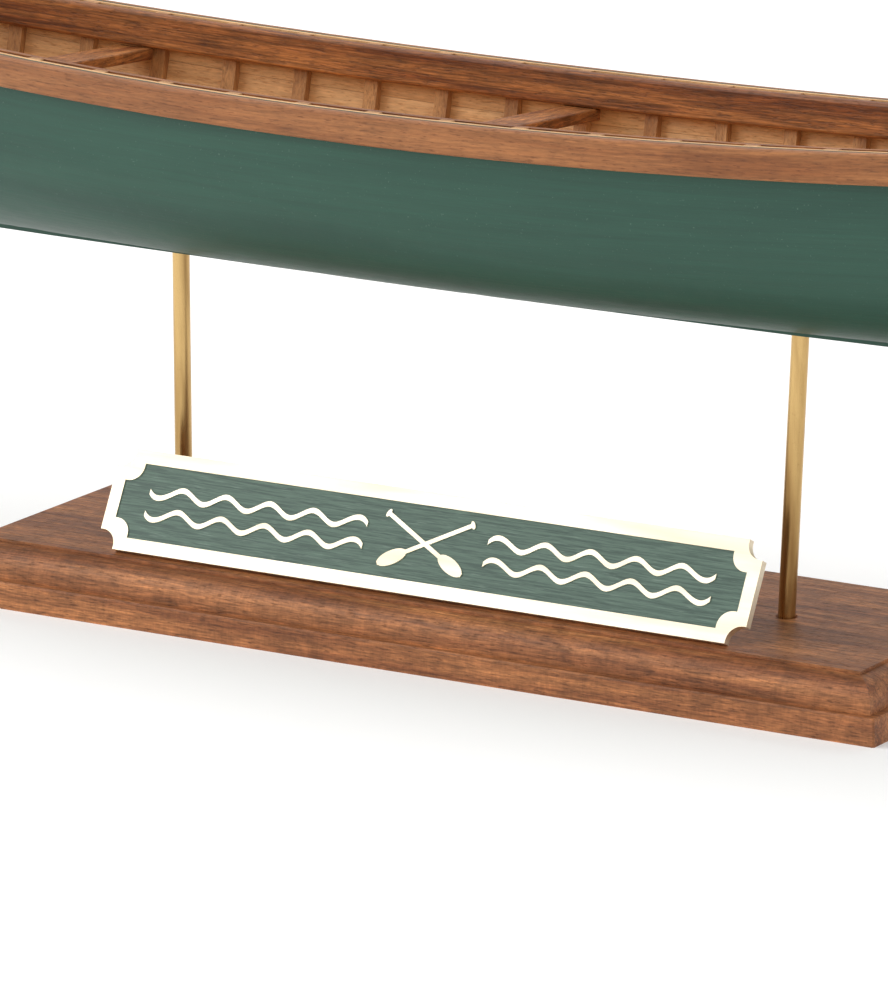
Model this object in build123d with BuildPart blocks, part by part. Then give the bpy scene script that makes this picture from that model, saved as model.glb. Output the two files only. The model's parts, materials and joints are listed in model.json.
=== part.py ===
from build123d import *
import math
import os

# Display model of a wood-and-canvas canoe at one twelfth scale, carried on two brass
# posts above a moulded hardwood base with a leaning brass nameplate. Millimetres.
# +X runs along the canoe to the bow, -Y is the nameplate side and +Z is up. The origin
# is the middle of the underside of the base. The hull is drawn in a frame of its own
# (zero on the outside of the bottom amidships) and then seated on the posts.

os.makedirs("parts", exist_ok=True)

# ---- driving dimensions: hull form ----
HULL_LENGTH = 406.4        # stem to stem, without the stem bands
HULL_BEAM = 62.0           # over the outwales
HULL_DEPTH = 26.2          # bottom to gunwale top, amidships
SHEER_SWEEP = 16.0         # slow rise of the gunwale towards the ends
SHEER_LIFT = 9.0           # extra rise close to the stems
SHEER_LIFT_POWER = 6       # how late that extra rise sets in
ROCKER = 2.0               # rise of the keel line at the forefoot
FOREFOOT_LENGTH = 34.0     # length over which the keel line turns up into the stem
FOREFOOT_HEIGHT = 25.0     # height of that turn
STEM_HALF = 0.8            # half thickness of the stem and of the flat along the bottom
PLAN_FINENESS = 0.33       # how much straighter than a parabola the plan runs to the ends
MID_FULLNESS = 0.75        # section exponent amidships, below 1 is full-bodied
END_FULLNESS = 1.7         # section exponent at the ends, towards 2 is a straight vee
DEEPEST_VEE = 3.0          # most that an inset may deepen at the keel of a vee section
LEAST_FLAT = 0.3           # least half width of the flat on the centreline of a form

# ---- driving dimensions: hull pieces ----
FIT = 0.05                 # gap between pieces that are glued or sprung together
SKIN_T = 0.4
CANVAS_GAP = 0.15          # filler between the canvas and the planking
PLANK_T = 0.85
PLANK_SEAM = 0.04
STRAKES = 6                # on each side
RIB_T = 1.2
RIB_W = 2.0
RIB_PITCH = 11.1
RIB_COUNT = 27
OUTWALE_T = 1.4
OUTWALE_GAP = 0.1          # glue line between an outwale and the curved skin
OUTWALE_H = 4.1
OUTWALE_TIP = 0.5          # share of its thickness that an outwale loses at the stems
OUTWALE_TAPER = 6          # power by which it thins
INWALE_T = 1.6
INWALE_H = 4.8
GUNWALE_ROUND = 0.45
KEEL_WALL = 0.6            # keel left beside each post hole
KEEL_D = 0.9
KEEL_TIP_D = 0.3
KEEL_TAPER = 4             # power by which the keel narrows and thins to its tips
KEEL_GAP = 0.25            # glue line between the keel strip and the skin
KEEL_STOP = 4.2            # how far the keel stops short of each forefoot
STEM_BAND_T = 0.5
STEM_BAND_START = 5.0      # degrees round the forefoot at which the band begins
DECK_LENGTH = 29.0
DECK_T = 1.5
DECK_CROWN = 0.6
DECK_TIP_HALF = 0.35
DECK_BITE_R = 0.825        # radius of the deck's hollow edge, as a share of its half width
DECK_BITE_OFF = 0.275      # centre of that radius behind the edge, as the same share

# ---- driving dimensions: thwarts and seats ----
THWART_W = 5.5
THWART_T = 1.65
THWART_ROUND = 0.3
CENTRE_THWART_X = 0.3
STERN_THWART_X = -69.7
SEAT_RAIL_W = 2.9
SEAT_RAIL_T = 1.6
SEAT_LENGTH = 24.4
SEAT_ROUND = 0.3
BOW_SEAT_X = 67.8
BOW_SEAT_W = 29.0
STERN_SEAT_X = -112.0
STERN_SEAT_W = 19.0
CANE_T = 0.35
CANE_RECESS = 0.15

# ---- driving dimensions: stand ----
PLINTH_LENGTH = 147.5
PLINTH_WIDTH = 47.2
PLINTH_H = 3.8
PLINTH_EDGE = 0.25
LEDGE = 1.2
BLOCK_H = 4.35             # moulded block above the plinth, up to the bead line
PAD_H = 0.45               # raised flat on top of the moulding
MOULD_R = 3.3
POST_D = 2.38
POST_SPACING = 95.6
POST_SHIFT = -0.3          # middle between the feet of the posts along the base
BOW_POST_LEAN = 2.8        # degrees that the bow post leans towards the bow
POST_SEAT = 5.0
POST_FIT = 0.03            # radial clearance of a post in its holes
POST_SINK_D = 3.1
POST_SINK = 0.4
POST_CROWN = 0.25
HULL_HEIGHT = 48.3         # bottom of the hull above the table, at the posts
HULL_SHIFT = -0.8          # middle of the hull along the base
HEEL = 4.3                 # degrees that the hull leans away from the nameplate
SOCKET_DEPTH = 2.0
SOCKET_BLOCK_T = 3.2
SOCKET_BLOCK_W = 9.0

# ---- driving dimensions: nameplate ----
PLATE_LENGTH = 101.6
PLATE_HEIGHT = 14.3
PLATE_T = 1.2
PLATE_LEAN = 28.2          # degrees back from upright
PLATE_SETBACK = 1.2        # front foot of the plate behind the front edge of the top flat
PLATE_NOTCH_R = 2.2
PLATE_NOTCH_STEP = 0.4
PLATE_BORDER = 1.85
PLATE_RECESS = 0.35
ENAMEL_T = 0.2
ENAMEL_FIT = 0.02
WAVE_AMPLITUDE = 0.75
WAVE_W = 0.75
WAVE_ROWS = 2
WAVE_ROW_GAP = 3.1
WAVE_INNER_X = 9.5         # where the waves stop beside the crossed paddles
WAVE_COUNT = 5             # waves on each side
WAVE_END_GAP = 4.4         # plain field between the waves and the border
PADDLE_LENGTH = 15.0
PADDLE_SHAFT_W = 0.6
PADDLE_BLADE_L = 4.6
PADDLE_BLADE_W = 2.0
PADDLE_GRIP_W = 1.2
PADDLE_ANGLE = 62.0        # degrees that each paddle leans from upright
BACKING_INSET = 8.8        # how far the backing stops short of each end of the plate
BACKING_DROP = 3.6         # how far its top edge stays below that of the plate
BACKING_FOOT = 8.0

# ---- derived sizes ----
HALF_LENGTH = HULL_LENGTH / 2
SKIN_HALF_BEAM = HULL_BEAM / 2 - OUTWALE_T - OUTWALE_GAP
FOREFOOT_X = HALF_LENGTH - FOREFOOT_LENGTH
PLANK_OUT = SKIN_T + CANVAS_GAP
PLANK_IN = PLANK_OUT + PLANK_T
RIB_OUT = PLANK_IN + FIT
RIB_IN = RIB_OUT + RIB_T
INWALE_OUT = RIB_IN + FIT
INWALE_IN = INWALE_OUT + INWALE_T
BASE_H = PLINTH_H + BLOCK_H + PAD_H
STATION_STEP = 29.0
FOREFOOT_LEAD = 8.5        # extra station this far before the forefoot
TURN_STEP = 22.5           # degrees between the stations round the forefoot
SECTION_POINTS = 9
HALF_TURN = 90.0
STRAKE_POINTS = 4
BAND_POINTS = 9
DECK_STATIONS = 4
QUARTERS = 4               # points along one wave of the motif
STATION_LEAST = 2.25       # least distance between two stations
SEARCH_STEP = 0.005        # how closely a station is found
GIRTH_STEPS = 360
HOLED_STRAKES = 1          # strakes on each side that the posts pass through


# ---- hull form ----
def share(x):
    return abs(x) / HALF_LENGTH


def breadth(x):
    """Half breadth of the skin at the gunwale."""
    plan = (1 - share(x) ** 2) * (1 - PLAN_FINENESS * share(x) ** 2)
    return STEM_HALF + (SKIN_HALF_BEAM - STEM_HALF) * plan


def sheer(x):
    """Height of the gunwale top."""
    return HULL_DEPTH + SHEER_SWEEP * share(x) ** 2 + SHEER_LIFT * share(x) ** SHEER_LIFT_POWER


def bottom(x):
    """Height of the outside of the hull on its centreline."""
    turn = max(0.0, min(1.0, (abs(x) - FOREFOOT_X) / FOREFOOT_LENGTH))
    return ROCKER * (x / FOREFOOT_X) ** 2 + FOREFOOT_HEIGHT * (1 - math.sqrt(1 - turn**2))


def fullness(x):
    return MID_FULLNESS + (END_FULLNESS - MID_FULLNESS) * share(x) ** 2


def floor(x, inset):
    """Height on the centreline of the form that lies inset inside the hull."""
    depth = sheer(x) - bottom(x)
    vee = (fullness(x) - MID_FULLNESS) / (2 - MID_FULLNESS)
    steepness = math.hypot(1, depth / breadth(x)) - 1
    return bottom(x) + inset * min(DEEPEST_VEE, 1 + steepness * vee)


def flat(inset):
    """Half width of the flat on the centreline."""
    return max(STEM_HALF - inset, LEAST_FLAT)


def form_point(x, inset, turn):
    """Point (y, z) of a section, turn going from 0 at the keel to 90 at the gunwale."""
    side = math.sin(math.radians(turn)) ** fullness(x)
    rise = 1 - max(0.0, math.cos(math.radians(turn))) ** fullness(x)
    low = floor(x, inset)
    return (
        flat(inset) + (breadth(x) - inset - flat(inset)) * side,
        low + (sheer(x) - low) * rise,
    )


def form_y(x, inset, below):
    """Half breadth of a form at a depth below the gunwale top."""
    low = floor(x, inset)
    cosine = (below / (sheer(x) - low)) ** (1 / fullness(x))
    return form_point(x, inset, math.degrees(math.acos(cosine)))[0]


def curve(x, inset, start, end, points):
    step = (end - start) / (points - 1)
    return [form_point(x, inset, start + step * i) for i in range(points)]


def mirrored(points):
    return [(-y, z) for y, z in reversed(points)]


def stations(end):
    """Evenly spaced stations amidships, closer ones round each forefoot."""
    straight = min(end, FOREFOOT_X)
    count = math.ceil(straight / STATION_STEP)
    half = [straight * i / count for i in range(count + 1)]
    if end > straight:
        half.insert(count, straight - FOREFOOT_LEAD)
    turns = [TURN_STEP * i for i in range(1, round(HALF_TURN / TURN_STEP) + 1)]
    curved = [FOREFOOT_X + FOREFOOT_LENGTH * math.sin(math.radians(t)) for t in turns]
    half += [x for x in curved if x < end - FIT]
    if end > straight:
        half.append(end)
    return [-x for x in reversed(half[1:])] + half


def x_at_breadth(wanted):
    """Station towards the bow where the skin has a given half breadth."""
    near, far = 0.0, HALF_LENGTH
    while far - near > SEARCH_STEP:
        middle = (near + far) / 2
        if breadth(middle) > wanted:
            near = middle
        else:
            far = middle
    return near


STEM_INSET = PLANK_OUT + FIT
STEM_X = x_at_breadth(INWALE_IN + DECK_TIP_HALF + FIT)


def full_section(x, inset):
    """Whole section of a form, closed straight across the gunwales."""
    side = curve(x, inset, 0, HALF_TURN, SECTION_POINTS)
    with BuildSketch(Plane.YZ.offset(x)) as section:
        with BuildLine():
            Spline(*mirrored(side))
            Line((-side[0][0], side[0][1]), side[0])
            Spline(*side)
            Line(side[-1], (-side[-1][0], side[-1][1]))
        make_face()
    return section.sketch


def wall_section(x, outside, inside):
    """Section of a wall that runs from gunwale to gunwale between two forms."""
    outer = curve(x, outside, 0, HALF_TURN, SECTION_POINTS)
    inner = curve(x, inside, 0, HALF_TURN, SECTION_POINTS)
    with BuildSketch(Plane.YZ.offset(x)) as section:
        with BuildLine():
            for side in (outer, inner):
                Spline(*mirrored(side))
                Line((-side[0][0], side[0][1]), side[0])
                Spline(*side)
            Line(outer[-1], inner[-1])
            Line((-outer[-1][0], outer[-1][1]), (-inner[-1][0], inner[-1][1]))
        make_face()
    return section.sketch


def strake_section(x, start, end):
    """Section of a port strake between two turns round the bilge."""
    outer = curve(x, PLANK_OUT, start, end, STRAKE_POINTS)
    inner = curve(x, PLANK_IN, start, end, STRAKE_POINTS)
    if start == 0:
        outer[0] = (PLANK_SEAM / 2, outer[0][1])
        inner[0] = (PLANK_SEAM / 2, inner[0][1])
    with BuildSketch(Plane.YZ.offset(x)) as section:
        with BuildLine():
            Spline(*outer)
            Line(outer[-1], inner[-1])
            Spline(*reversed(inner))
            Line(inner[0], outer[0])
        make_face()
    return section.sketch


def seam_turns():
    """Start and end turn of each strake, for strakes of equal width amidships."""
    turns = [HALF_TURN * i / GIRTH_STEPS for i in range(GIRTH_STEPS + 1)]
    points = [form_point(0, PLANK_IN, turn) for turn in turns]
    points[0] = (0, points[0][1])
    girth = [0.0]
    for before, after in zip(points, points[1:]):
        girth.append(girth[-1] + math.dist(before, after))

    def turn_at(length):
        for i in range(GIRTH_STEPS):
            if girth[i + 1] >= length:
                part = (length - girth[i]) / (girth[i + 1] - girth[i])
                return turns[i] + part * (turns[i + 1] - turns[i])
        return HALF_TURN

    width = girth[-1] / STRAKES
    pairs = []
    for i in range(STRAKES):
        start = 0 if i == 0 else turn_at(width * i + PLANK_SEAM / 2)
        end = HALF_TURN if i == STRAKES - 1 else turn_at(width * (i + 1) - PLANK_SEAM / 2)
        pairs.append((start, end))
    return pairs


def rail_section(x, inset, thickness, height, outward):
    """Section of a port gunwale strip whose hull side follows a form."""
    top = sheer(x)
    face_top = breadth(x) - inset
    face_low = form_y(x, inset, height)
    away = thickness if outward else -thickness
    with BuildSketch(Plane.YZ.offset(x)) as section:
        with BuildLine():
            Polyline(
                (face_top, top),
                (face_top + away, top),
                (face_top + away, top - height),
                (face_low, top - height),
                close=True,
            )
        make_face()
        free_corners = section.vertices().group_by(Axis.X)[-1 if outward else 0]
        fillet(free_corners, GUNWALE_ROUND)
    return section.sketch


def outwale_thickness(x):
    return OUTWALE_T * (1 - OUTWALE_TIP * share(x) ** OUTWALE_TAPER)


def half_span(ends, below):
    """Half length of a cross piece that ends just inside the ribs."""
    return min(form_y(x, RIB_IN, below) for x in ends) - FIT


# ---- seat of the hull on its posts ----
hull_seat = Location((HULL_SHIFT, 0, HULL_HEIGHT), (-HEEL, 0, 0))
post_feet = {
    "bow": Location((POST_SHIFT + POST_SPACING / 2, 0, BASE_H), (0, BOW_POST_LEAN, 0)),
    "stern": Location((POST_SHIFT - POST_SPACING / 2, 0, BASE_H)),
}
POST_LENGTH = HULL_HEIGHT - BASE_H + RIB_OUT + SOCKET_DEPTH


def post_rod(foot, radius, below, above):
    """Rod along a post, from below the top of the base to above it."""
    with BuildPart(Plane(foot * Location((0, 0, -below)))) as rod:
        Cylinder(radius, below + above, align=(Align.CENTER, Align.CENTER, Align.MIN))
    return rod.part


post_holes = [
    hull_seat.inverse() * post_rod(foot, POST_D / 2 + POST_FIT, 0, POST_LENGTH + FIT)
    for foot in post_feet.values()
]


def save(part, name):
    part.label = name
    export_step(part, f"parts/{name}.step")


def save_on_hull(part, name):
    save(hull_seat * part, name)


def save_pair(part, name, plane, sides, bores=()):
    """Write a hull piece and its mirror image, each bored for the posts."""
    with BuildPart() as first:
        add(part)
        for hole in bores:
            add(hole, mode=Mode.SUBTRACT)
    with BuildPart() as second:
        mirror(part, about=plane)
        for hole in bores:
            add(hole, mode=Mode.SUBTRACT)
    save_on_hull(first.part, f"{sides[0]}{name}")
    save_on_hull(second.part, f"{sides[1]}{name}")


# ---- hull skin: painted canvas ----
with BuildPart() as hull_skin:
    for x in stations(HALF_LENGTH):
        add(wall_section(x, 0, SKIN_T))
    loft()
    for hole in post_holes:
        add(hole, mode=Mode.SUBTRACT)
save_on_hull(hull_skin.part, "hull_skin")

# ---- planking: strakes of equal width amidships that taper to the stems ----
for number, (start, end) in enumerate(seam_turns(), 1):
    with BuildPart() as strake:
        for x in stations(STEM_X - FIT):
            add(strake_section(x, start, end))
        loft()
    bores = post_holes if number <= HOLED_STRAKES else []
    save_pair(strake.part, f"strake_{number}", Plane.XZ, ("port_", "starboard_"), bores)

# ---- ribs: bent strips from gunwale to gunwale ----
rib_parts = []
for i in range(RIB_COUNT):
    middle = RIB_PITCH * (i - (RIB_COUNT - 1) / 2)
    with BuildPart() as rib:
        add(wall_section(middle - RIB_W / 2, RIB_OUT, RIB_IN))
        add(wall_section(middle + RIB_W / 2, RIB_OUT, RIB_IN))
        loft(ruled=True)
    rib_parts.append(rib.part)
with BuildPart() as ribs:
    for part in rib_parts:
        add(part)
save_on_hull(ribs.part, "ribs")

# ---- keel strip under the bottom ----
with BuildPart() as keel:
    keel_end = FOREFOOT_X - KEEL_STOP
    widest_half = POST_D / 2 + POST_FIT + KEEL_WALL
    tip_half = STEM_HALF - FIT
    for x in stations(keel_end):
        body = 1 - (abs(x) / keel_end) ** KEEL_TAPER
        depth = KEEL_TIP_D + (KEEL_D - KEEL_TIP_D) * body
        half = tip_half + (widest_half - tip_half) * body
        top = bottom(x) - KEEL_GAP
        with BuildSketch(Plane.YZ.offset(x)):
            with BuildLine():
                Polyline(
                    (-half, top),
                    (half, top),
                    (half - KEEL_TIP_D, top - depth),
                    (KEEL_TIP_D - half, top - depth),
                    close=True,
                )
            make_face()
    loft()
    for hole in post_holes:
        add(hole, mode=Mode.SUBTRACT)
save_on_hull(keel.part, "keel")

# ---- stems: solid knees that close the skin at each end ----
with BuildPart() as bow_stem:
    add(full_section(STEM_X, STEM_INSET))
    for x in (s for s in stations(HALF_LENGTH) if s > STEM_X + STATION_LEAST):
        add(full_section(x, STEM_INSET))
    loft()
save_pair(bow_stem.part, "stem", Plane.YZ, ("bow_", "stern_"))

# ---- stem bands: half-round brass strips up the face of each stem ----
def stem_face(turn, out):
    """Point (x, z) outside the stem face at a turn round the forefoot."""
    span = math.radians(turn)
    x = FOREFOOT_X + FOREFOOT_LENGTH * math.sin(span)
    along = (
        FOREFOOT_LENGTH * math.cos(span),
        2 * ROCKER * x / FOREFOOT_X**2 * FOREFOOT_LENGTH * math.cos(span)
        + FOREFOOT_HEIGHT * math.sin(span),
    )
    size = math.hypot(*along)
    return (x + out * along[1] / size, bottom(x) - out * along[0] / size)


with BuildPart() as bow_stem_band:
    with BuildSketch(Plane.XZ) as band_side:
        turns = [
            STEM_BAND_START + (HALF_TURN - STEM_BAND_START) * i / (BAND_POINTS - 1)
            for i in range(BAND_POINTS)
        ]
        inner = [stem_face(turn, FIT) for turn in turns]
        outer = [stem_face(turn, FIT + STEM_BAND_T) for turn in turns]
        head = sheer(HALF_LENGTH)
        with BuildLine():
            Spline(*inner)
            Polyline(inner[-1], (inner[-1][0], head), (outer[-1][0], head), outer[-1])
            Spline(*outer)
            Line(outer[0], inner[0])
        make_face()
    extrude(amount=STEM_HALF - FIT, both=True)
save_pair(bow_stem_band.part, "stem_band", Plane.YZ, ("bow_", "stern_"))

# ---- gunwales: outwales over the skin, inwales inside the rib heads ----
with BuildPart() as port_outwale:
    for x in stations(HALF_LENGTH):
        add(rail_section(x, -OUTWALE_GAP, outwale_thickness(x), OUTWALE_H, True))
    loft()
save_pair(port_outwale.part, "outwale", Plane.XZ, ("port_", "starboard_"))

with BuildPart() as port_inwale:
    for x in stations(STEM_X - FIT):
        add(rail_section(x, INWALE_OUT, INWALE_T, INWALE_H, False))
    loft()
save_pair(port_inwale.part, "inwale", Plane.XZ, ("port_", "starboard_"))

# ---- decks: crowned triangles between the inwales at each end ----
def deck_half(x):
    return breadth(x) - INWALE_IN - FIT


with BuildPart() as bow_deck:
    deck_start = STEM_X - DECK_LENGTH
    widest = deck_half(deck_start)
    for i in range(DECK_STATIONS):
        x = deck_start + (DECK_LENGTH - FIT) * i / (DECK_STATIONS - 1)
        half = deck_half(x)
        with BuildSketch(Plane.YZ.offset(x)):
            with BuildLine():
                ThreePointArc(
                    (-half, sheer(x)),
                    (0, sheer(x) + DECK_CROWN * half / widest),
                    (half, sheer(x)),
                )
                Polyline(
                    (half, sheer(x)),
                    (half, sheer(x) - DECK_T),
                    (-half, sheer(x) - DECK_T),
                    (-half, sheer(x)),
                )
            make_face()
    loft()
    with BuildSketch(Plane.XY):
        with Locations((deck_start - widest * DECK_BITE_OFF, 0)):
            Circle(widest * DECK_BITE_R)
    extrude(amount=sheer(HALF_LENGTH), mode=Mode.SUBTRACT)
save_pair(bow_deck.part, "deck", Plane.YZ, ("bow_", "stern_"))


# ---- thwarts under the inwales ----
def thwart(middle):
    ends = (middle - THWART_W / 2, middle + THWART_W / 2)
    top = min(sheer(x) for x in ends) - INWALE_H - FIT
    half = half_span(ends, INWALE_H + THWART_T)
    with BuildPart() as board:
        with BuildSketch(Plane.XY.offset(top)):
            with Locations((middle, 0)):
                Rectangle(THWART_W, 2 * half)
        extrude(amount=-THWART_T)
        fillet(board.edges().filter_by(Axis.Y), THWART_ROUND)
    return board.part


save_on_hull(thwart(CENTRE_THWART_X), "centre_thwart")
save_on_hull(thwart(STERN_THWART_X), "stern_thwart")


# ---- seats: four rails round a caned panel, laid to the run of the sheer ----
def seat(middle, width):
    ends = (middle - SEAT_LENGTH / 2, middle + SEAT_LENGTH / 2)
    rise = (sheer(ends[1]) - sheer(ends[0])) / SEAT_LENGTH
    top = (sheer(ends[0]) + sheer(ends[1])) / 2 - INWALE_H - FIT * 2
    plane = Plane(origin=(middle, 0, top), x_dir=(1, 0, rise), z_dir=(-rise, 0, 1))
    rail_offset = SEAT_LENGTH / 2 - SEAT_RAIL_W / 2
    opening = SEAT_LENGTH - 2 * SEAT_RAIL_W
    inner_width = width - 2 * SEAT_RAIL_W
    with BuildPart() as frame:
        for x, side in ((middle - rail_offset, -1), (middle + rail_offset, 1)):
            rail_ends = (x - SEAT_RAIL_W / 2, x + SEAT_RAIL_W / 2)
            half = half_span(rail_ends, INWALE_H + SEAT_RAIL_T)
            with BuildSketch(plane):
                with Locations((side * rail_offset, 0)):
                    Rectangle(SEAT_RAIL_W, 2 * half)
        with BuildSketch(plane):
            with Locations((0, (width - SEAT_RAIL_W) / 2), (0, (SEAT_RAIL_W - width) / 2)):
                Rectangle(opening, SEAT_RAIL_W)
        extrude(amount=-SEAT_RAIL_T)
        fillet(frame.faces().sort_by(Axis(plane.origin, plane.z_dir))[-1].edges(), SEAT_ROUND)
    with BuildPart() as cane:
        with BuildSketch(plane.offset(-CANE_RECESS)):
            Rectangle(opening - 2 * FIT, inner_width - 2 * FIT)
        extrude(amount=-CANE_T)
    return frame.part, cane.part


for name, middle, width in (
    ("bow_seat", BOW_SEAT_X, BOW_SEAT_W),
    ("stern_seat", STERN_SEAT_X, STERN_SEAT_W),
):
    seat_frame, seat_cane = seat(middle, width)
    save_on_hull(seat_frame, f"{name}_frame")
    save_on_hull(seat_cane, f"{name}_cane")


# ---- socket blocks: glued to the planking between two ribs, over each post ----
for name, foot in post_feet.items():
    post_x = (hull_seat.inverse() * foot * Location((0, 0, POST_LENGTH))).position.X
    bay = RIB_PITCH * (math.floor(post_x / RIB_PITCH) + 0.5)
    half = (RIB_PITCH - RIB_W) / 2 - FIT
    top = floor(bay, RIB_OUT) + SOCKET_BLOCK_T
    with BuildPart() as block:
        add(full_section(bay - half, RIB_OUT))
        add(full_section(bay + half, RIB_OUT))
        loft(ruled=True)
        with BuildSketch(Plane.XY):
            with Locations((bay, 0)):
                Rectangle(2 * half, SOCKET_BLOCK_W)
        extrude(amount=top, mode=Mode.INTERSECT)
        for hole in post_holes:
            add(hole, mode=Mode.SUBTRACT)
    save_on_hull(block.part, f"{name}_socket_block")

# ---- base: plinth, moulded block and raised top flat ----
PAD_INSET = LEDGE + MOULD_R
with BuildPart() as base_board:
    with BuildSketch():
        Rectangle(PLINTH_LENGTH, PLINTH_WIDTH)
    extrude(amount=PLINTH_H)
    chamfer(base_board.edges().filter_by(Axis.Z), PLINTH_EDGE)
    chamfer(base_board.faces().sort_by(Axis.Z)[-1].edges(), PLINTH_EDGE)
    with BuildSketch(Plane.XY.offset(PLINTH_H)):
        Rectangle(PLINTH_LENGTH - 2 * LEDGE, PLINTH_WIDTH - 2 * LEDGE)
    extrude(amount=BLOCK_H)
    fillet(base_board.faces().sort_by(Axis.Z)[-1].edges(), MOULD_R)
    with BuildSketch(Plane.XY.offset(PLINTH_H + BLOCK_H)):
        Rectangle(PLINTH_LENGTH - 2 * PAD_INSET, PLINTH_WIDTH - 2 * PAD_INSET)
    extrude(amount=PAD_H)
    for foot in post_feet.values():
        add(post_rod(foot, POST_D / 2 + POST_FIT, POST_SEAT, PAD_H), mode=Mode.SUBTRACT)
        with Locations(Location(foot.position) * Location((0, 0, -POST_SINK))):
            Cone(
                POST_D / 2,
                POST_SINK_D / 2,
                POST_SINK,
                align=(Align.CENTER, Align.CENTER, Align.MIN),
                mode=Mode.SUBTRACT,
            )
save(base_board.part, "base_board")

# ---- brass posts ----
for name, foot in post_feet.items():
    with BuildPart() as post:
        add(post_rod(foot, POST_D / 2, POST_SEAT - FIT, POST_LENGTH))
        chamfer(post.edges().group_by(Axis.Z)[-1], POST_CROWN)
    save(post.part, f"{name}_post")

# ---- nameplate: brass plate with a recessed field, leaning on a wooden backing ----
lean = math.radians(PLATE_LEAN)
plate_front = PLINTH_WIDTH / 2 - PAD_INSET - PLATE_SETBACK
plate_foot = (0, -plate_front, BASE_H + PLATE_T * math.sin(lean))
plate_plane = Plane(
    origin=plate_foot, x_dir=(1, 0, 0), z_dir=(0, -math.cos(lean), math.sin(lean))
)


def scalloped(length, height, radius):
    """Outline with hollow quarter-round corners between short square steps."""
    half, tall, step = length / 2, height / 2, PLATE_NOTCH_STEP
    reach = radius + step
    bend = step + radius * math.sqrt(0.5)
    with BuildSketch() as outline:
        with BuildLine() as quarter:
            Line((0, tall), (half - reach, tall))
            Line((half - reach, tall), (half - reach, tall - step))
            ThreePointArc(
                (half - reach, tall - step), (half - bend, tall - bend), (half - step, tall - reach)
            )
            Line((half - step, tall - reach), (half, tall - reach))
            Line((half, tall - reach), (half, 0))
            mirror(quarter.line, about=Plane.XZ)
            mirror(quarter.line, about=Plane.YZ)
        make_face()
    return outline.sketch


def on_plate(depth):
    """Plane on the plate, its middle at half height, a depth behind the border."""
    middle = plate_plane.origin + plate_plane.y_dir * (PLATE_HEIGHT / 2)
    return Plane(middle, x_dir=plate_plane.x_dir, z_dir=plate_plane.z_dir).offset(-depth)


plate_outline = scalloped(PLATE_LENGTH, PLATE_HEIGHT, PLATE_NOTCH_R)
field_size = (PLATE_LENGTH - 2 * PLATE_BORDER, PLATE_HEIGHT - 2 * PLATE_BORDER)
field_outline = scalloped(*field_size, PLATE_NOTCH_R)
with BuildPart() as nameplate:
    with BuildSketch(on_plate(0)):
        add(plate_outline)
    extrude(amount=-PLATE_T)
    with BuildSketch(on_plate(0)):
        add(field_outline)
    extrude(amount=-PLATE_RECESS, mode=Mode.SUBTRACT)
save(nameplate.part, "nameplate")

with BuildPart() as enamel:
    with BuildSketch(on_plate(PLATE_RECESS)):
        add(field_outline)
        offset(amount=-ENAMEL_FIT, kind=Kind.INTERSECTION, mode=Mode.REPLACE)
    extrude(amount=ENAMEL_T)
save(enamel.part, "nameplate_enamel")


def wave_line(row):
    """A wavy ribbon on the bow side of the crossed paddles."""
    middle = (row - (WAVE_ROWS - 1) / 2) * WAVE_ROW_GAP
    run = PLATE_LENGTH / 2 - PLATE_BORDER - WAVE_END_GAP - WAVE_INNER_X
    count = WAVE_COUNT * QUARTERS
    xs = [WAVE_INNER_X + run * i / count for i in range(count + 1)]
    heights = [middle + WAVE_AMPLITUDE * math.sin(math.pi / 2 * i) for i in range(count + 1)]
    with BuildSketch() as ribbon:
        with BuildLine():
            upper = Spline(*[(x, z + WAVE_W / 2) for x, z in zip(xs, heights)])
            lower = Spline(*[(x, z - WAVE_W / 2) for x, z in zip(xs, heights)])
            Line(upper @ 0, lower @ 0)
            Line(upper @ 1, lower @ 1)
        make_face()
    return ribbon.sketch


def paddle(angle):
    with BuildSketch() as outline:
        with Locations(Rotation(0, 0, angle)):
            Rectangle(PADDLE_SHAFT_W, PADDLE_LENGTH)
        with Locations(Rotation(0, 0, angle) * Pos(0, (PADDLE_BLADE_L - PADDLE_LENGTH) / 2)):
            Ellipse(PADDLE_BLADE_W / 2, PADDLE_BLADE_L / 2)
        with Locations(Rotation(0, 0, angle) * Pos(0, PADDLE_LENGTH / 2)):
            Ellipse(PADDLE_GRIP_W / 2, PADDLE_SHAFT_W / 2)
    return outline.sketch


ribbons = [wave_line(row) for row in range(WAVE_ROWS)]
with BuildPart() as motif:
    with BuildSketch(on_plate(PLATE_RECESS - ENAMEL_T)):
        add(paddle(PADDLE_ANGLE))
        add(paddle(-PADDLE_ANGLE))
        for ribbon in ribbons:
            add(ribbon)
            add(mirror(ribbon, about=Plane.YZ, mode=Mode.PRIVATE))
    extrude(amount=PLATE_RECESS - ENAMEL_T)
save(motif.part, "nameplate_motif")

# ---- backing: the wedge that the nameplate is glued to ----
with BuildPart() as backing:
    foot = (-plate_front + PLATE_T * math.cos(lean) + FIT, BASE_H)
    rise = PLATE_HEIGHT * math.cos(lean) - BACKING_DROP
    backing_length = PLATE_LENGTH - 2 * BACKING_INSET
    head = (foot[0] + rise * math.tan(lean), BASE_H + rise)
    with BuildSketch(Plane.YZ.offset(-backing_length / 2)):
        with BuildLine():
            Polyline(foot, head, (foot[0] + BACKING_FOOT, BASE_H), close=True)
        make_face()
    extrude(amount=backing_length)
save(backing.part, "nameplate_backing")
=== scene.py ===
import json
import math
import random
from typing import NamedTuple

import bpy
from mathutils import Matrix, Vector

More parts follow.
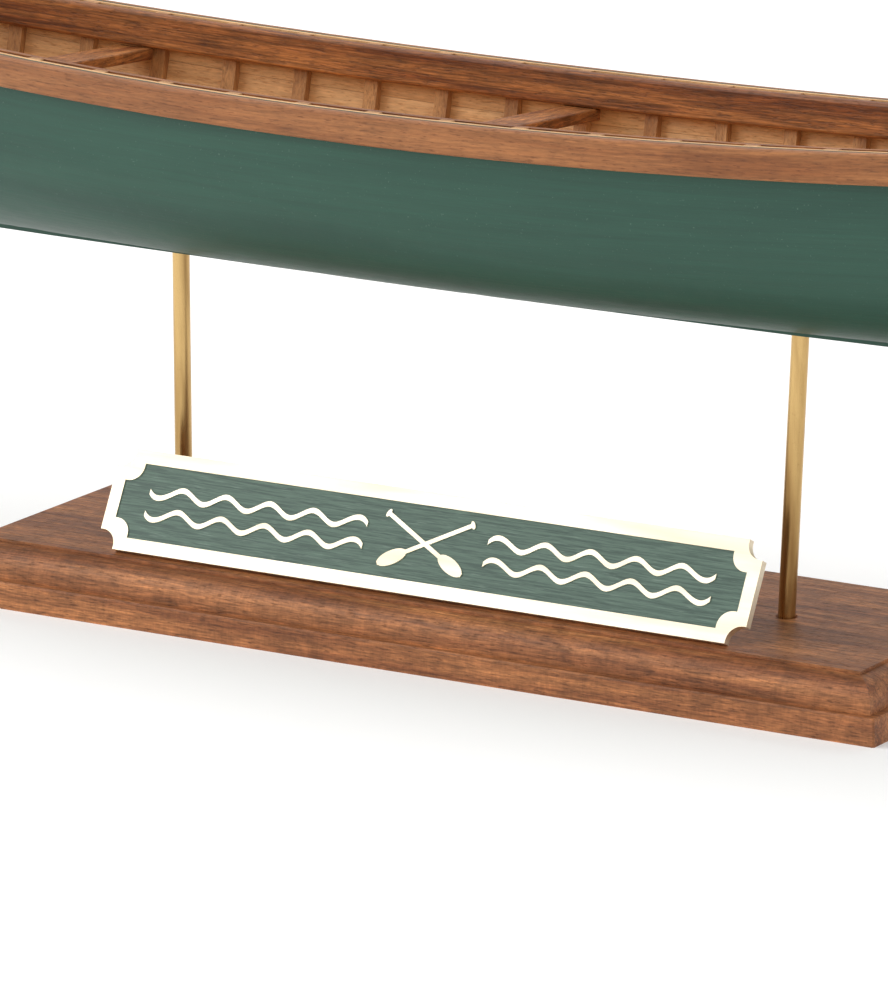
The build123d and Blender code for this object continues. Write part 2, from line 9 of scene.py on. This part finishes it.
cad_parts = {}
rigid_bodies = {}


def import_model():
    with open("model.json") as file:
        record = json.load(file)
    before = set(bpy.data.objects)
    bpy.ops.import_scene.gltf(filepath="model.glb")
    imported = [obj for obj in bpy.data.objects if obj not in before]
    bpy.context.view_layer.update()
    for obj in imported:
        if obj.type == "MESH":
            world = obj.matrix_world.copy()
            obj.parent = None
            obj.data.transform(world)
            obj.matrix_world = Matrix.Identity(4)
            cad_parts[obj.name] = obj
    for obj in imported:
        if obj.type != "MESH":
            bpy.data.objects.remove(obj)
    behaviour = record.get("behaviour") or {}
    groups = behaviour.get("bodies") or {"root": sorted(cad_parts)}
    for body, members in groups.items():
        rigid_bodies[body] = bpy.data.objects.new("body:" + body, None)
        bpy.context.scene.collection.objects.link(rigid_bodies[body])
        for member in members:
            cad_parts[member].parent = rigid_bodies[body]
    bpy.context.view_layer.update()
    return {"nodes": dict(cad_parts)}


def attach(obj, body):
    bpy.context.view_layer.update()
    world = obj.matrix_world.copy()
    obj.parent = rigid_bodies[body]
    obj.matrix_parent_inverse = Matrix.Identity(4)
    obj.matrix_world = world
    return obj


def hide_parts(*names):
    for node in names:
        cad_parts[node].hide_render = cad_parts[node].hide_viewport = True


# Looks for the display model of a canoe on its stand. Blender works in metres. Sizes in the
# materials, the cane and the camera's aim are in millimetres, and MM turns them into metres.
# The floor, the lights and the camera's distance are in metres.

MM = 0.001
SEED = 12
random.seed(SEED)

# The objects of the startup scene would count in the bounds.
for leftover in list(bpy.data.objects):
    bpy.data.objects.remove(leftover)

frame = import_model()
nodes = frame["nodes"]

# ---- the hull's run, which only steers the grain of its long pieces ----
HULL_SEAT = (-0.8, 0.0, 48.3)
HULL_HEEL = math.radians(-4.3)
HULL_HALF_LENGTH = 203.2
HULL_HALF_BEAM = 28.8
PLAN_FINENESS = 0.33           # how much finer the ends are than a plain curve
SHEER_RISE = 16.0              # how far the gunwales rise at the ends

# ---- display tones ----
BYTE = 255
DISPLAY_OFFSET = 0.055
DISPLAY_POWER = 2.4


def tone(red, green, blue):
    """Linear colour of an 8-bit display tone."""
    levels = [(c / BYTE + DISPLAY_OFFSET) / (1 + DISPLAY_OFFSET) for c in (red, green, blue)]
    return (*(level**DISPLAY_POWER for level in levels), 1.0)


# ---- material graphs ----
AXIS_X, AXIS_Y, AXIS_Z = 0, 1, 2
MIX_AMOUNT, MIX_FIRST, MIX_SECOND = 0, 6, 7    # inputs of a mix node for colours
MIX_RESULT = 2                                 # its output
UNIT = (0.0, 1.0)


class Layer(NamedTuple):
    """One layer of cloudy noise: the size of its cells in millimetres and their character."""

    length: float
    width: float
    detail: float = 3.0
    rough: float = 0.5
    warp: float = 0.0
    shift: float = 0.0


class Graph:
    """One procedural material, drawn in millimetres in the frame of the model."""

    def __init__(self, name):
        self.material = bpy.data.materials.new(name)
        self.material.use_nodes = True
        self.tree = self.material.node_tree
        self.shader = self.tree.nodes["Principled BSDF"]
        place = self.add("ShaderNodeTexCoord").outputs["Object"]
        scaled = self.add(
            "ShaderNodeVectorMath", {"Vector": place, "Scale": 1 / MM}, operation="SCALE"
        )
        self.points = scaled.outputs["Vector"]

    def put(self, socket, value):
        """Links another node's output to a socket, or sets a constant on it."""
        if isinstance(value, bpy.types.NodeSocket):
            self.tree.links.new(value, socket)
        else:
            socket.default_value = value

    def add(self, kind, inputs=None, **settings):
        """New node with its settings made and its inputs filled."""
        node = self.tree.nodes.new(kind)
        for name, value in settings.items():
            setattr(node, name, value)
        for name, value in (inputs or {}).items():
            self.put(node.inputs[name], value)
        return node

    def math(self, operation, first, second=0.0):
        """Sum, product or the like of two values."""
        return self.add("ShaderNodeMath", {0: first, 1: second}, operation=operation).outputs[0]

    def noise(self, layer, axis=AXIS_X):
        """Noise of a layer, with its cells lying along an axis."""
        cell = [layer.width] * 3
        cell[axis] = layer.length
        where = self.add(
            "ShaderNodeMapping",
            {
                "Vector": self.points,
                "Scale": tuple(1 / size for size in cell),
                "Location": (layer.shift, layer.shift, layer.shift),
            },
        )
        return self.add(
            "ShaderNodeTexNoise",
            {
                "Vector": where.outputs[0],
                "Scale": 1.0,
                "Detail": layer.detail,
                "Roughness": layer.rough,
                "Distortion": layer.warp,
            },
        ).outputs[0]

    def between(self, value, span, reach=UNIT):
        """Value stretched from one range to another and held inside it."""
        return self.add(
            "ShaderNodeMapRange",
            {
                "Value": value,
                "From Min": span[0],
                "From Max": span[1],
                "To Min": reach[0],
                "To Max": reach[1],
            },
        ).outputs[0]

    def mix(self, amount, first, second, blend="MIX"):
        """Colour mixed from two others."""
        inputs = {MIX_AMOUNT: amount, MIX_FIRST: first, MIX_SECOND: second}
        node = self.add("ShaderNodeMix", inputs, data_type="RGBA", blend_type=blend)
        return node.outputs[MIX_RESULT]

    def shade(self, colour, value, levels):
        """Colour made darker or lighter by a value that goes from 0 to 1."""
        level = self.between(value, UNIT, levels)
        grey = self.add("ShaderNodeCombineColor", {"Red": level, "Green": level, "Blue": level})
        return self.mix(1.0, colour, grey.outputs[0], "MULTIPLY")

    def bump(self, height, depth):
        """Relief of a depth in millimetres."""
        inputs = {"Height": height, "Strength": 1.0, "Distance": depth * MM}
        return self.add("ShaderNodeBump", inputs).outputs[0]

    def finish(self, colour, roughness, normal=None, **sockets):
        """Fills the shader's sockets and gives back the material."""
        self.put(self.shader.inputs["Base Color"], colour)
        self.put(self.shader.inputs["Roughness"], roughness)
        if normal is not None:
            self.put(self.shader.inputs["Normal"], normal)
        for name, value in sockets.items():
            self.put(self.shader.inputs[name.replace("_", " ")], value)
        return self.material

    def run_along_hull(self):
        """Moves the points so that X stays on a bent gunwale as it curves and rises."""
        seated = self.add(
            "ShaderNodeMapping",
            {
                "Vector": self.points,
                "Location": HULL_SEAT,
                "Rotation": (HULL_HEEL, 0.0, 0.0),
            },
            vector_type="TEXTURE",
        )
        parts = self.add("ShaderNodeSeparateXYZ", {"Vector": seated.outputs[0]})
        x, y, z = parts.outputs
        share = self.math("POWER", self.math("DIVIDE", x, HULL_HALF_LENGTH), 2.0)
        straight = self.math("SUBTRACT", 1.0, share)
        fine = self.math("SUBTRACT", 1.0, self.math("MULTIPLY", share, PLAN_FINENESS))
        plan = self.math("MULTIPLY", straight, fine)
        breadth = self.math("MULTIPLY", plan, HULL_HALF_BEAM)
        across = self.math("SUBTRACT", self.math("ABSOLUTE", y), breadth)
        up = self.math("SUBTRACT", z, self.math("MULTIPLY", share, SHEER_RISE))
        side = self.math("SIGN", y)
        apart = self.math("MULTIPLY", side, HULL_HALF_LENGTH)
        along = self.math("ADD", x, apart)
        joined = self.add("ShaderNodeCombineXYZ", {"X": along, "Y": across, "Z": up})
        self.points = joined.outputs[0]


# Ranges of the noise, which is mostly near a half, that the layers are stretched from.
SOFT = (0.3, 0.7)
FIRM = (0.36, 0.64)
HARD = (0.38, 0.62)
SUM_OF_TWO = (0.6, 1.4)

SATIN_COAT = {"Coat_Weight": 0.06, "Coat_Roughness": 0.35}

# ---- wood ----
PIECE_SPREAD = 57.0            # how far apart two pieces can lie in the same grain
BANDS = Layer(42.0, 2.4, detail=4.0, rough=0.6, warp=0.6)
STREAKS = Layer(13.0, 0.36, rough=0.6, warp=0.3, shift=13.0)
STREAK_LIFT = 0.7              # how strong the pale streaks are beside the dark ones
FIBRES = Layer(2.6, 0.24, detail=2.0, rough=0.6, warp=0.2)
VESSELS = Layer(1.5, 0.22, detail=2.0, rough=0.6, warp=0.3, shift=9.0)
PORES = (0.55, 0.7)
PORE_TINT = 0.55
PORE_SINK = 0.8
CLOUD = Layer(5.0, 5.0, detail=4.0, rough=0.65, warp=1.0, shift=4.0)
RIPPLE = Layer(0.4, 1.8, detail=2.0, rough=0.6, warp=0.3, shift=31.0)
WOOD_RELIEF = 0.035
WOOD_SHEEN = 0.34
WOOD_WEAR = (0.3, 1.4)
WOOD_DULLING = 0.22


def wood(
    name, tones, axis=AXIS_X,
    streak=0.5, fibre=0.2, figure=0.1, ticks=0.0, gloss=0.44, bent=False,
):
    """Open-grained wood: growth bands, dark and pale streaks, fibres, pores and figure."""
    light, dark, pore = tones
    graph = Graph(name)
    if bent:
        graph.run_along_hull()
    chance = graph.add("ShaderNodeObjectInfo").outputs["Random"]
    offset = graph.math("MULTIPLY", chance, PIECE_SPREAD)
    shift = graph.add("ShaderNodeCombineXYZ", {"X": offset, "Y": offset, "Z": offset})
    moved = graph.add(
        "ShaderNodeVectorMath", {0: graph.points, 1: shift.outputs[0]}, operation="ADD"
    )
    graph.points = moved.outputs[0]

    bands = graph.noise(BANDS, axis)
    streaks = graph.noise(STREAKS, axis)
    fibres = graph.noise(FIBRES, axis)
    vessels = graph.noise(VESSELS, axis)
    cloud = graph.noise(CLOUD)
    ripple = graph.noise(RIPPLE)

    streak_levels = (1 - streak, 1 + streak * STREAK_LIFT)
    colour = graph.mix(graph.between(bands, FIRM), dark, light)
    colour = graph.shade(colour, graph.between(streaks, HARD), streak_levels)
    colour = graph.shade(colour, graph.between(fibres, FIRM), (1 - fibre, 1 + fibre))
    colour = graph.shade(colour, graph.between(cloud, HARD), (1 - figure, 1 + figure))
    if ticks:
        colour = graph.shade(colour, graph.between(ripple, HARD), (1 - ticks, 1 + ticks))
    open_pores = graph.between(vessels, PORES)
    colour = graph.mix(graph.math("MULTIPLY", open_pores, PORE_TINT), colour, pore)

    relief = graph.math("SUBTRACT", fibres, graph.math("MULTIPLY", open_pores, PORE_SINK))
    worn = graph.math("ADD", fibres, open_pores)
    rough = graph.between(worn, WOOD_WEAR, (gloss, gloss + WOOD_DULLING))
    normal = graph.bump(relief, WOOD_RELIEF)
    return graph.finish(colour, rough, normal, **SATIN_COAT, Specular_IOR_Level=WOOD_SHEEN)


# ---- painted canvas ----
DRIFT = Layer(60.0, 6.0, rough=0.6, warp=0.4)
STROKES = Layer(26.0, 0.55, detail=4.0, rough=0.65, warp=0.2)
STROKE_LEVELS = (0.9, 1.1)
BRISTLES = Layer(11.0, 0.14, rough=0.7)
BRISTLE_LEVELS = (0.93, 1.08)
BRISTLE_HEIGHT = 0.7           # beside the height of a stroke
DUST = Layer(0.35, 0.35, detail=1.0, shift=5.0)
DUSTY = (0.7, 0.8)
DUST_TINT = 0.2
DUST_TONE = tone(120, 150, 134)
PAINT_ROUGH = (0.4, 0.56)
PAINT_RELIEF = 0.026
PAINT_SHEEN = 0.4


def paint(name, light, dark):
    """Satin enamel brushed along the hull over a filled canvas skin."""
    graph = Graph(name)
    graph.run_along_hull()
    drift = graph.noise(DRIFT)
    strokes = graph.noise(STROKES)
    bristles = graph.noise(BRISTLES)
    dust = graph.noise(DUST)
    colour = graph.mix(graph.between(drift, SOFT), dark, light)
    colour = graph.shade(colour, graph.between(strokes, SOFT), STROKE_LEVELS)
    colour = graph.shade(colour, graph.between(bristles, SOFT), BRISTLE_LEVELS)
    dusted = graph.math("MULTIPLY", graph.between(dust, DUSTY), DUST_TINT)
    colour = graph.mix(dusted, colour, DUST_TONE)
    relief = graph.math("ADD", strokes, graph.math("MULTIPLY", bristles, BRISTLE_HEIGHT))
    rough = graph.between(graph.math("ADD", strokes, bristles), SUM_OF_TWO, PAINT_ROUGH)
    normal = graph.bump(relief, PAINT_RELIEF)
    return graph.finish(colour, rough, normal, **SATIN_COAT, Specular_IOR_Level=PAINT_SHEEN)


# ---- brass ----
DRAWN_LINES = Layer(14.0, 0.06, rough=0.6)
DRAWN_LEVELS = (0.93, 1.05)
TARNISH = Layer(22.0, 2.4, warp=0.2, shift=3.0)
TARNISHED = (0.4, 0.8)
SPOTS = Layer(0.5, 0.5, detail=2.0, shift=8.0)
SPOTTED = (0.68, 0.78)
SPOT_TINT = 0.35
BRASS_RELIEF = 0.008
BRASS_DULLING = 0.16


def brass(name, bright, dull, axis, gloss):
    """Drawn or brushed brass, with lines on one axis and a little tarnish."""
    graph = Graph(name)
    drawn = graph.noise(DRAWN_LINES, axis)
    tarnish = graph.noise(TARNISH, axis)
    spots = graph.noise(SPOTS)
    colour = graph.mix(graph.between(tarnish, TARNISHED), bright, dull)
    colour = graph.shade(colour, graph.between(drawn, SOFT), DRAWN_LEVELS)
    spotted = graph.math("MULTIPLY", graph.between(spots, SPOTTED), SPOT_TINT)
    colour = graph.mix(spotted, colour, dull)
    worn = graph.math("ADD", drawn, tarnish)
    rough = graph.between(worn, SUM_OF_TWO, (gloss, gloss + BRASS_DULLING))
    return graph.finish(colour, rough, graph.bump(drawn, BRASS_RELIEF), Metallic=1.0)


# ---- enamel of the nameplate field ----
FURROWS = Layer(7.0, 0.26, rough=0.7, warp=0.4)
FURROWED = (0.38, 0.6)
SCRATCHES = Layer(3.6, 0.2, detail=2.0, rough=0.6, warp=0.2, shift=6.0)
SCRATCHED = (0.6, 0.72)
SCRATCH_TINT = 0.3
SCRATCH_TONE = tone(150, 172, 158)
ENAMEL_ROUGH = (0.38, 0.6)
ENAMEL_RELIEF = 0.05


def enamel(name, light, dark):
    """Painted field with long brushed furrows and broken pale scratches."""
    graph = Graph(name)
    furrows = graph.noise(FURROWS)
    scratches = graph.noise(SCRATCHES)
    colour = graph.mix(graph.between(furrows, FURROWED), dark, light)
    scratched = graph.math("MULTIPLY", graph.between(scratches, SCRATCHED), SCRATCH_TINT)
    colour = graph.mix(scratched, colour, SCRATCH_TONE)
    rough = graph.between(furrows, SOFT, ENAMEL_ROUGH)
    return graph.finish(colour, rough, graph.bump(furrows, ENAMEL_RELIEF))


# ---- cane ----
CANE_JOINTS = Layer(2.6, 2.6, detail=2.0, warp=0.4)
JOINTED = (0.35, 0.7)
CANE_FIBRES = Layer(0.12, 0.12, detail=2.0, shift=7.0)
CANE_LEVELS = (0.88, 1.1)
CANE_ROUGH = (0.3, 0.46)
CANE_RELIEF = 0.01
CANE_COAT = 0.3


def cane(name, light, dark):
    """Split cane: glossy straw with darker joints and fine fibres."""
    graph = Graph(name)
    joints = graph.noise(CANE_JOINTS)
    fibres = graph.noise(CANE_FIBRES)
    colour = graph.mix(graph.between(joints, JOINTED), light, dark)
    colour = graph.shade(colour, graph.between(fibres, SOFT), CANE_LEVELS)
    rough = graph.between(fibres, SOFT, CANE_ROUGH)
    return graph.finish(colour, rough, graph.bump(fibres, CANE_RELIEF), Coat_Weight=CANE_COAT)


# ---- which look each piece has ----
# Light, dark and pore tones of each wood.
MAHOGANY = (tone(162, 106, 62), tone(136, 82, 44), tone(92, 50, 27))
DEEP_MAHOGANY = (tone(168, 108, 58), tone(118, 64, 28), tone(64, 31, 14))
CEDAR = (tone(228, 180, 124), tone(206, 154, 100), tone(160, 108, 62))
# The ribs use the planks' cedar made darker: painted shade standing in for the shade on the ribs'
# sides.
SHADED_RIB_CEDAR = (tone(196, 144, 90), tone(160, 110, 64), tone(120, 74, 40))
BASE = (tone(176, 115, 70), tone(134, 80, 47), tone(66, 34, 19))

looks = {
    "paint": paint("hull_paint", tone(39, 80, 65), tone(30, 69, 56)),
    "outwale": wood(
        "outwale_mahogany", MAHOGANY, streak=0.16, fibre=0.12, figure=0.06, bent=True
    ),
    "inwale": wood("inwale_mahogany", DEEP_MAHOGANY, streak=0.4, fibre=0.24, bent=True),
    "crosspiece": wood(
        "crosspiece_mahogany", DEEP_MAHOGANY, AXIS_Y,
        streak=0.3, fibre=0.3, ticks=0.2, gloss=0.36,
    ),
    "deck": wood("deck_mahogany", MAHOGANY, streak=0.25),
    "plank": wood("plank_cedar", CEDAR, streak=0.07, fibre=0.1, figure=0.05, bent=True),
    "rib": wood("rib_cedar_painted_shade", SHADED_RIB_CEDAR, AXIS_Z, streak=0.1, fibre=0.12, figure=0.06),
    "base": wood("base_mahogany", BASE, streak=0.22, fibre=0.24, figure=0.18, ticks=0.07),
    "post": brass("post_brass", tone(208, 174, 116), tone(138, 100, 56), AXIS_Z, gloss=0.22),
    # The plate's near-white cream tones are partly its pale brass and partly a painted highlight:
    # reflected glare spread over the whole plate.
    "plate": brass("plate_brass_painted_glare", tone(248, 238, 215), tone(236, 222, 192), AXIS_X, gloss=0.42),
    "band": brass("band_brass", tone(222, 184, 120), tone(150, 108, 62), AXIS_Z, gloss=0.26),
    "enamel": enamel("plate_enamel", tone(92, 116, 102), tone(52, 78, 66)),
    "cane": cane("seat_cane", tone(222, 192, 138), tone(178, 136, 84)),
}

look_of = {
    "hull_skin": "paint",
    "keel": "paint",
    "ribs": "rib",
    "centre_thwart": "crosspiece",
    "stern_thwart": "crosspiece",
    "base_board": "base",
    "nameplate": "plate",
    "nameplate_motif": "plate",
    "nameplate_enamel": "enamel",
    "nameplate_backing": "base",
}
look_of_ending = {
    "_outwale": "outwale",
    "_inwale": "inwale",
    "_deck": "deck",
    "_stem": "plank",
    "_stem_band": "band",
    "_post": "post",
    "_socket_block": "plank",
    "_seat_frame": "crosspiece",
    "_seat_cane": "cane",
}
for name, node in nodes.items():
    look = look_of.get(name)
    if look is None and "_strake_" in name:
        look = "plank"
    if look is None:
        look = next(kind for ending, kind in look_of_ending.items() if name.endswith(ending))
    for material_slot in node.material_slots:
        material_slot.material = looks[look]


# ---- caned seats ----
CANE_PITCH = 1.75
CANE_PAIR = 0.2                # half the distance between the two strands of a pair
CANE_W = 0.26
CANE_T = 0.08
CANE_WEAVE = 0.05              # how far a strand rises and dips
CANE_SWAY = 0.012              # how far a strand strays to the side
CANE_STEPS = 4                 # points along a strand for each pitch
DIAGONAL_W = 0.3
DIAGONAL_LEAST = 3             # points in the shortest diagonal
BINDER_W = 0.8
BINDER_T = 0.2
STRAND_CORNERS = 5
STRAND_SHOULDER = 0.45         # height of a strand's shoulders beside its crown
SAME_WAY = 0.5                 # faces whose normals agree by more than this share an axis


def slab(node):
    """Middle, half sizes and axes of a CAD node that is a plain tilted board."""
    mesh = nodes[node].data
    corners = [Vector(v.co) for v in mesh.vertices]
    middle = sum(corners, Vector()) / len(corners)

    def half_size(axis):
        return max(abs((corner - middle).dot(axis)) for corner in corners)

    axes = []
    for face in mesh.polygons:
        if all(abs(face.normal.dot(axis)) < SAME_WAY for axis in axes):
            axes.append(face.normal.normalized())
    up = min(axes, key=half_size)
    up = up if up.z > 0 else -up
    along = max(axes, key=lambda axis: abs(axis.x))
    along = along if along.x > 0 else -along
    across = up.cross(along)
    halves = [half_size(axis) for axis in (along, across, up)]
    return middle, halves, Matrix((along, across, up)).transposed()


class Ribbons:
    """Collects flat strands, each a closed strip, into one mesh."""

    def __init__(self):
        self.points = []
        self.faces = []

    def strand(self, line, width, thick):
        """Adds a strip along points (u, v, w), lying flat on the w axis."""
        first = len(self.points)
        for i, here in enumerate(line):
            before = line[max(i - 1, 0)]
            after = line[min(i + 1, len(line) - 1)]
            way = Vector((after[0] - before[0], after[1] - before[1], 0)).normalized()
            side = Vector((-way.y, way.x, 0)) * width / 2
            rise = Vector((0, 0, thick / 2))
            shoulder = rise * STRAND_SHOULDER
            here = Vector(here)
            self.points += [here - side - rise, here + side - rise, here + side + shoulder]
            self.points += [here + rise, here - side + shoulder]
        corners = range(STRAND_CORNERS)
        for i in range(len(line) - 1):
            near = first + STRAND_CORNERS * i
            far = near + STRAND_CORNERS
            for k in corners:
                after = (k + 1) % STRAND_CORNERS
                self.faces.append((near + k, near + after, far + after, far + k))
        self.faces.append(tuple(first + k for k in reversed(corners)))
        last = first + STRAND_CORNERS * (len(line) - 1)
        self.faces.append(tuple(last + k for k in corners))


def lattice(half):
    """Evenly spaced middles that leave half a pitch at each end, and their spacing."""
    count = max(2, round(2 * half / CANE_PITCH))
    step = 2 * half / count
    return [-half + step * (i + 0.5) for i in range(count)], step


def pairs(weave, middles, half, crossed, step, place):
    """Weaves a pair of strands at each middle, over and under the strands they cross."""
    for number, middle in enumerate(middles):
        for side in (-CANE_PAIR, CANE_PAIR):
            steps = crossed * CANE_STEPS
            line = []
            for i in range(steps + 1):
                along = -half + 2 * half * i / steps
                sway = random.uniform(-CANE_SWAY, CANE_SWAY)
                rise = CANE_WEAVE * math.cos(math.pi * along / step + math.pi * number)
                line.append(place(along, middle + side + sway, rise))
            weave.strand(line, CANE_W, CANE_T)


def caned_panel(node, name):
    """Weaves a panel of paired strands and diagonals inside a CAD board."""
    middle, halves, axes = slab(node)
    half_u, half_v = halves[0] / MM, halves[1] / MM
    us, step_u = lattice(half_u)
    vs, step_v = lattice(half_v)
    weave = Ribbons()
    pairs(weave, vs, half_u, len(us), step_u, lambda along, across, rise: (along, across, rise))
    pairs(weave, us, half_v, len(vs), step_v, lambda along, across, rise: (across, along, -rise))
    for slope in (1, -1):
        for start in range(-len(vs), len(us)):
            line = []
            for i in range(len(vs) * 2 + 1):
                u = -half_u + step_u * (start + i / 2)
                v = slope * (-half_v + step_v * i / 2)
                over = (i % 2 == 1) == (slope > 0)
                if abs(u) <= half_u and abs(v) <= half_v:
                    line.append((u, v, CANE_WEAVE if over else -CANE_WEAVE))
            if len(line) >= DIAGONAL_LEAST:
                weave.strand(line, DIAGONAL_W, CANE_T)
    edge_u, edge_v = half_u - BINDER_W / 2, half_v - BINDER_W / 2
    reach = half_v - BINDER_W
    for side in (-1, 1):
        weave.strand([(-half_u, side * edge_v, 0), (half_u, side * edge_v, 0)], BINDER_W, BINDER_T)
        weave.strand([(side * edge_u, -reach, 0), (side * edge_u, reach, 0)], BINDER_W, BINDER_T)

    mesh = bpy.data.meshes.new(name)
    placed = [middle + axes @ (Vector(p) * MM) for p in weave.points]
    mesh.from_pydata([tuple(p) for p in placed], [], weave.faces)
    mesh.validate()
    mesh.materials.append(looks["cane"])
    panel = bpy.data.objects.new(name, mesh)
    bpy.context.scene.collection.objects.link(panel)
    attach(panel, "root")
    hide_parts(node)


for end in ("bow", "stern"):
    caned_panel(f"{end}_seat_cane", f"{end}_seat_woven_cane")

# ---- floor ----
FLOOR_HALF = 6.0
FLOOR_TONE = (0.87, 0.86, 0.85, 1.0)
FLOOR_ROUGH = 0.9
FLOOR_SHEEN = 0.1
FLOOR_GLOW = 0.16
WHITE = (1.0, 1.0, 1.0, 1.0)

floor_mesh = bpy.data.meshes.new("studio_floor")
floor_corners = [(-FLOOR_HALF, -FLOOR_HALF, 0), (FLOOR_HALF, -FLOOR_HALF, 0)]
floor_corners += [(FLOOR_HALF, FLOOR_HALF, 0), (-FLOOR_HALF, FLOOR_HALF, 0)]
floor_mesh.from_pydata(floor_corners, [], [(0, 1, 2, 3)])
floor = bpy.data.objects.new("studio_floor", floor_mesh)
bpy.context.scene.collection.objects.link(floor)
floor_look = Graph("floor_white").finish(
    FLOOR_TONE,
    FLOOR_ROUGH,
    Specular_IOR_Level=FLOOR_SHEEN,
    Emission_Color=WHITE,
    Emission_Strength=FLOOR_GLOW,
)
floor_mesh.materials.append(floor_look)

# ---- light ----
LIT_POINT = Vector((0.0, 0.0, 0.04))
WORLD_STRENGTH = 0.6


def area_light(name, place, width, height, power):
    """Rectangular light that faces the model."""
    light = bpy.data.lights.new(name, "AREA")
    light.shape = "RECTANGLE"
    light.size = width
    light.size_y = height
    light.energy = power
    lamp = bpy.data.objects.new(name, light)
    lamp.location = place
    lamp.rotation_mode = "QUATERNION"
    lamp.rotation_quaternion = (Vector(place) - LIT_POINT).to_track_quat("Z", "Y")
    bpy.context.scene.collection.objects.link(lamp)


area_light("overhead_softbox", (-0.2, 0.3, 1.5), width=2.2, height=1.8, power=17.0)
area_light("front_left_softbox", (-1.4, -0.9, 0.9), width=1.2, height=1.2, power=17.0)
area_light("right_fill", (1.6, -0.6, 0.7), width=0.9, height=1.2, power=4.0)

world = bpy.data.worlds.new("studio")
world.use_nodes = True
world.node_tree.nodes["Background"].inputs["Color"].default_value = WHITE
world.node_tree.nodes["Background"].inputs["Strength"].default_value = WORLD_STRENGTH
bpy.context.scene.world = world
bpy.context.scene.view_settings.view_transform = "Standard"

# ---- camera ----
AZIMUTH = math.radians(31.6382)
ELEVATION = math.radians(14.3612)
ROLL = math.radians(-0.2835)
FOCAL_LENGTH = 317.41
SENSOR = 36.0
DISTANCE = 1.1965
LOOK_AT = Vector((-5.8885, 0.0, 17.6055)) * MM
NEAREST, FARTHEST = 0.05, 60.0

back = Vector(
    (
        math.sin(AZIMUTH) * math.cos(ELEVATION),
        -math.cos(AZIMUTH) * math.cos(ELEVATION),
        math.sin(ELEVATION),
    )
)
level = Vector((math.cos(AZIMUTH), math.sin(AZIMUTH), 0.0))
upright = back.cross(level)
right = level * math.cos(ROLL) + upright * math.sin(ROLL)
top = upright * math.cos(ROLL) - level * math.sin(ROLL)
lens = bpy.data.cameras.new("camera")
lens.sensor_width = SENSOR
lens.lens = FOCAL_LENGTH
lens.clip_start = NEAREST
lens.clip_end = FARTHEST
camera = bpy.data.objects.new("camera", lens)
turned = Matrix((right, top, back)).transposed().to_4x4()
camera.matrix_world = Matrix.Translation(LOOK_AT + back * DISTANCE) @ turned
bpy.context.scene.collection.objects.link(camera)
bpy.context.scene.camera = camera
